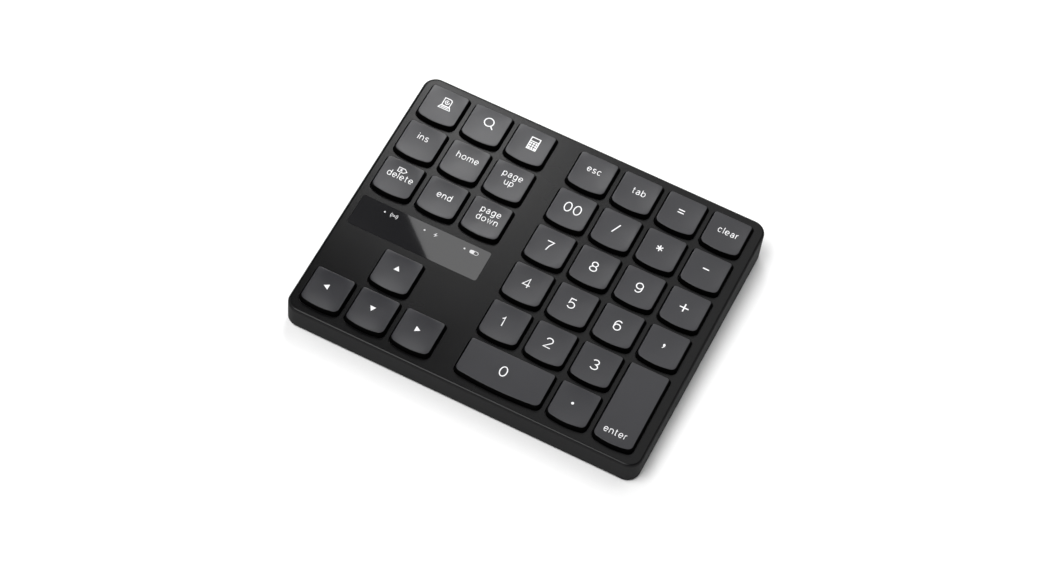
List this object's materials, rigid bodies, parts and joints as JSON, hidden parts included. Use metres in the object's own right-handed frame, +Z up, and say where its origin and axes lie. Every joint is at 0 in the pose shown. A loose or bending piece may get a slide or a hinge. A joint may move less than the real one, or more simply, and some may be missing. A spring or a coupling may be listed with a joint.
{
  "type": "numeric keypad",
  "caption": "Cordless numeric keypad: a flat wedge-shaped case with two blocks of low square keys, a smoked indicator window and a stowed USB receiver.",
  "frame": {"origin": "centre of the footprint, on the plane that the rubber feet stand on", "axes": "+X to the user's right along the wide side, +Y away from the user, +Z up"},
  "size_m": [0.147, 0.1209, 0.019],
  "materials": {
    "case": "satin moulded plastic, charcoal",
    "keycap": "soft matte keycap plastic, charcoal",
    "window": "polished smoked acrylic",
    "frame": "plain moulded plastic, black",
    "rubber": "silicone rubber",
    "foot": "black rubber",
    "film": "clear polyester film",
    "steel": "plain sheet steel",
    "wire": "bright spring wire",
    "board": "solder-masked laminate",
    "component": "moulded component bodies",
    "flex": "polyimide film",
    "cell": "foil pouch",
    "port": "drawn steel shell",
    "insert": "white contact block",
    "receiver": "black receiver cap"
  },
  "bodies": {
    "case": {"top_cover": "case", "bottom_cover": "case", "key_frame": "frame", "dome_sheet": "rubber", "membrane_upper": "film", "membrane_spacer": "film", "membrane_lower": "film", "backplate": "steel", "indicator_window": "window", "main_board": "board", "board_components": "component", "flex_cable": "flex", "power_board": "board", "usb_c_port": "port", "power_switch_body": "frame", "battery": "cell", "rubber_feet": "foot", "frame_screws": "steel", "case_screws": "steel"},
    "key_computer": {"key_computer": "keycap"},
    "key_search": {"key_search": "keycap"},
    "key_calculator": {"key_calculator": "keycap"},
    "key_insert": {"key_insert": "keycap"},
    "key_home": {"key_home": "keycap"},
    "key_page_up": {"key_page_up": "keycap"},
    "key_delete": {"key_delete": "keycap"},
    "key_end": {"key_end": "keycap"},
    "key_page_down": {"key_page_down": "keycap"},
    "key_up": {"key_up": "keycap"},
    "key_left": {"key_left": "keycap"},
    "key_down": {"key_down": "keycap"},
    "key_right": {"key_right": "keycap"},
    "key_escape": {"key_escape": "keycap"},
    "key_tab": {"key_tab": "keycap"},
    "key_equals": {"key_equals": "keycap"},
    "key_clear": {"key_clear": "keycap"},
    "key_double_zero": {"key_double_zero": "keycap"},
    "key_divide": {"key_divide": "keycap"},
    "key_multiply": {"key_multiply": "keycap"},
    "key_minus": {"key_minus": "keycap"},
    "key_seven": {"key_seven": "keycap"},
    "key_eight": {"key_eight": "keycap"},
    "key_nine": {"key_nine": "keycap"},
    "key_plus": {"key_plus": "keycap"},
    "key_four": {"key_four": "keycap"},
    "key_five": {"key_five": "keycap"},
    "key_six": {"key_six": "keycap"},
    "key_comma": {"key_comma": "keycap"},
    "key_one": {"key_one": "keycap"},
    "key_two": {"key_two": "keycap"},
    "key_three": {"key_three": "keycap"},
    "key_point": {"key_point": "keycap"},
    "key_zero": {"key_zero": "keycap"},
    "key_enter": {"key_enter": "keycap"},
    "zero_wire": {"zero_stabiliser": "wire"},
    "enter_wire": {"enter_stabiliser": "wire"},
    "switch_knob": {"power_switch_knob": "receiver"},
    "receiver": {"receiver_cap": "receiver", "receiver_shell": "port", "receiver_insert": "insert"}
  },
  "joints": [
    {"name": "press_computer", "type": "slide", "parent": "case", "child": "key_computer", "axis": [0, 0.0473, -0.9989], "range_m": [0, 0.002], "stiffness_N_per_m": 150, "springref_m": -0.0015, "deforming": ["dome_sheet"]},
    {"name": "press_search", "type": "slide", "parent": "case", "child": "key_search", "axis": [0, 0.0473, -0.9989], "range_m": [0, 0.002], "stiffness_N_per_m": 150, "springref_m": -0.0015, "deforming": ["dome_sheet"]},
    {"name": "press_calculator", "type": "slide", "parent": "case", "child": "key_calculator", "axis": [0, 0.0473, -0.9989], "range_m": [0, 0.002], "stiffness_N_per_m": 150, "springref_m": -0.0015, "deforming": ["dome_sheet"]},
    {"name": "press_insert", "type": "slide", "parent": "case", "child": "key_insert", "axis": [0, 0.0473, -0.9989], "range_m": [0, 0.002], "stiffness_N_per_m": 150, "springref_m": -0.0015, "deforming": ["dome_sheet"]},
    {"name": "press_home", "type": "slide", "parent": "case", "child": "key_home", "axis": [0, 0.0473, -0.9989], "range_m": [0, 0.002], "stiffness_N_per_m": 150, "springref_m": -0.0015, "deforming": ["dome_sheet"]},
    {"name": "press_page_up", "type": "slide", "parent": "case", "child": "key_page_up", "axis": [0, 0.0473, -0.9989], "range_m": [0, 0.002], "stiffness_N_per_m": 150, "springref_m": -0.0015, "deforming": ["dome_sheet"]},
    {"name": "press_delete", "type": "slide", "parent": "case", "child": "key_delete", "axis": [0, 0.0473, -0.9989], "range_m": [0, 0.002], "stiffness_N_per_m": 150, "springref_m": -0.0015, "deforming": ["dome_sheet"]},
    {"name": "press_end", "type": "slide", "parent": "case", "child": "key_end", "axis": [0, 0.0473, -0.9989], "range_m": [0, 0.002], "stiffness_N_per_m": 150, "springref_m": -0.0015, "deforming": ["dome_sheet"]},
    {"name": "press_page_down", "type": "slide", "parent": "case", "child": "key_page_down", "axis": [0, 0.0473, -0.9989], "range_m": [0, 0.002], "stiffness_N_per_m": 150, "springref_m": -0.0015, "deforming": ["dome_sheet"]},
    {"name": "press_up", "type": "slide", "parent": "case", "child": "key_up", "axis": [0, 0.0473, -0.9989], "range_m": [0, 0.002], "stiffness_N_per_m": 150, "springref_m": -0.0015, "deforming": ["dome_sheet"]},
    {"name": "press_left", "type": "slide", "parent": "case", "child": "key_left", "axis": [0, 0.0473, -0.9989], "range_m": [0, 0.002], "stiffness_N_per_m": 150, "springref_m": -0.0015, "deforming": ["dome_sheet"]},
    {"name": "press_down", "type": "slide", "parent": "case", "child": "key_down", "axis": [0, 0.0473, -0.9989], "range_m": [0, 0.002], "stiffness_N_per_m": 150, "springref_m": -0.0015, "deforming": ["dome_sheet"]},
    {"name": "press_right", "type": "slide", "parent": "case", "child": "key_right", "axis": [0, 0.0473, -0.9989], "range_m": [0, 0.002], "stiffness_N_per_m": 150, "springref_m": -0.0015, "deforming": ["dome_sheet"]},
    {"name": "press_escape", "type": "slide", "parent": "case", "child": "key_escape", "axis": [0, 0.0473, -0.9989], "range_m": [0, 0.002], "stiffness_N_per_m": 150, "springref_m": -0.0015, "deforming": ["dome_sheet"]},
    {"name": "press_tab", "type": "slide", "parent": "case", "child": "key_tab", "axis": [0, 0.0473, -0.9989], "range_m": [0, 0.002], "stiffness_N_per_m": 150, "springref_m": -0.0015, "deforming": ["dome_sheet"]},
    {"name": "press_equals", "type": "slide", "parent": "case", "child": "key_equals", "axis": [0, 0.0473, -0.9989], "range_m": [0, 0.002], "stiffness_N_per_m": 150, "springref_m": -0.0015, "deforming": ["dome_sheet"]},
    {"name": "press_clear", "type": "slide", "parent": "case", "child": "key_clear", "axis": [0, 0.0473, -0.9989], "range_m": [0, 0.002], "stiffness_N_per_m": 150, "springref_m": -0.0015, "deforming": ["dome_sheet"]},
    {"name": "press_double_zero", "type": "slide", "parent": "case", "child": "key_double_zero", "axis": [0, 0.0473, -0.9989], "range_m": [0, 0.002], "stiffness_N_per_m": 150, "springref_m": -0.0015, "deforming": ["dome_sheet"]},
    {"name": "press_divide", "type": "slide", "parent": "case", "child": "key_divide", "axis": [0, 0.0473, -0.9989], "range_m": [0, 0.002], "stiffness_N_per_m": 150, "springref_m": -0.0015, "deforming": ["dome_sheet"]},
    {"name": "press_multiply", "type": "slide", "parent": "case", "child": "key_multiply", "axis": [0, 0.0473, -0.9989], "range_m": [0, 0.002], "stiffness_N_per_m": 150, "springref_m": -0.0015, "deforming": ["dome_sheet"]},
    {"name": "press_minus", "type": "slide", "parent": "case", "child": "key_minus", "axis": [0, 0.0473, -0.9989], "range_m": [0, 0.002], "stiffness_N_per_m": 150, "springref_m": -0.0015, "deforming": ["dome_sheet"]},
    {"name": "press_seven", "type": "slide", "parent": "case", "child": "key_seven", "axis": [0, 0.0473, -0.9989], "range_m": [0, 0.002], "stiffness_N_per_m": 150, "springref_m": -0.0015, "deforming": ["dome_sheet"]},
    {"name": "press_eight", "type": "slide", "parent": "case", "child": "key_eight", "axis": [0, 0.0473, -0.9989], "range_m": [0, 0.002], "stiffness_N_per_m": 150, "springref_m": -0.0015, "deforming": ["dome_sheet"]},
    {"name": "press_nine", "type": "slide", "parent": "case", "child": "key_nine", "axis": [0, 0.0473, -0.9989], "range_m": [0, 0.002], "stiffness_N_per_m": 150, "springref_m": -0.0015, "deforming": ["dome_sheet"]},
    {"name": "press_plus", "type": "slide", "parent": "case", "child": "key_plus", "axis": [0, 0.0473, -0.9989], "range_m": [0, 0.002], "stiffness_N_per_m": 150, "springref_m": -0.0015, "deforming": ["dome_sheet"]},
    {"name": "press_four", "type": "slide", "parent": "case", "child": "key_four", "axis": [0, 0.0473, -0.9989], "range_m": [0, 0.002], "stiffness_N_per_m": 150, "springref_m": -0.0015, "deforming": ["dome_sheet"]},
    {"name": "press_five", "type": "slide", "parent": "case", "child": "key_five", "axis": [0, 0.0473, -0.9989], "range_m": [0, 0.002], "stiffness_N_per_m": 150, "springref_m": -0.0015, "deforming": ["dome_sheet"]},
    {"name": "press_six", "type": "slide", "parent": "case", "child": "key_six", "axis": [0, 0.0473, -0.9989], "range_m": [0, 0.002], "stiffness_N_per_m": 150, "springref_m": -0.0015, "deforming": ["dome_sheet"]},
    {"name": "press_comma", "type": "slide", "parent": "case", "child": "key_comma", "axis": [0, 0.0473, -0.9989], "range_m": [0, 0.002], "stiffness_N_per_m": 150, "springref_m": -0.0015, "deforming": ["dome_sheet"]},
    {"name": "press_one", "type": "slide", "parent": "case", "child": "key_one", "axis": [0, 0.0473, -0.9989], "range_m": [0, 0.002], "stiffness_N_per_m": 150, "springref_m": -0.0015, "deforming": ["dome_sheet"]},
    {"name": "press_two", "type": "slide", "parent": "case", "child": "key_two", "axis": [0, 0.0473, -0.9989], "range_m": [0, 0.002], "stiffness_N_per_m": 150, "springref_m": -0.0015, "deforming": ["dome_sheet"]},
    {"name": "press_three", "type": "slide", "parent": "case", "child": "key_three", "axis": [0, 0.0473, -0.9989], "range_m": [0, 0.002], "stiffness_N_per_m": 150, "springref_m": -0.0015, "deforming": ["dome_sheet"]},
    {"name": "press_point", "type": "slide", "parent": "case", "child": "key_point", "axis": [0, 0.0473, -0.9989], "range_m": [0, 0.002], "stiffness_N_per_m": 150, "springref_m": -0.0015, "deforming": ["dome_sheet"]},
    {"name": "press_zero", "type": "slide", "parent": "case", "child": "key_zero", "axis": [0, 0.0473, -0.9989], "range_m": [0, 0.002], "stiffness_N_per_m": 150, "springref_m": -0.0015, "deforming": ["dome_sheet"]},
    {"name": "press_enter", "type": "slide", "parent": "case", "child": "key_enter", "axis": [0, 0.0473, -0.9989], "range_m": [0, 0.002], "stiffness_N_per_m": 150, "springref_m": -0.0015, "deforming": ["dome_sheet"]},
    {"name": "zero_wire_turn", "type": "hinge", "parent": "case", "child": "zero_wire", "pos_m": [0.01303, -0.04224, 0.01075], "axis": [1, 0, 0], "range_deg": [0, 14.4]},
    {"name": "enter_wire_turn", "type": "hinge", "parent": "case", "child": "enter_wire", "pos_m": [0.05493, -0.03834, 0.01094], "axis": [0, 0.9989, 0.0473], "range_deg": [0, 14.4]},
    {"name": "power_slide", "type": "slide", "parent": "case", "child": "switch_knob", "axis": [1, 0, 0], "range_m": [0, 0.002]},
    {"name": "receiver_pull", "type": "slide", "parent": "case", "child": "receiver", "axis": [-1, 0, 0], "range_m": [0, 0.0205]}
  ],
  "couplings": [
    {"joint": "zero_wire_turn", "follows": "press_zero", "rad_per_m": 125.6},
    {"joint": "enter_wire_turn", "follows": "press_enter", "rad_per_m": 125.6}
  ]
}
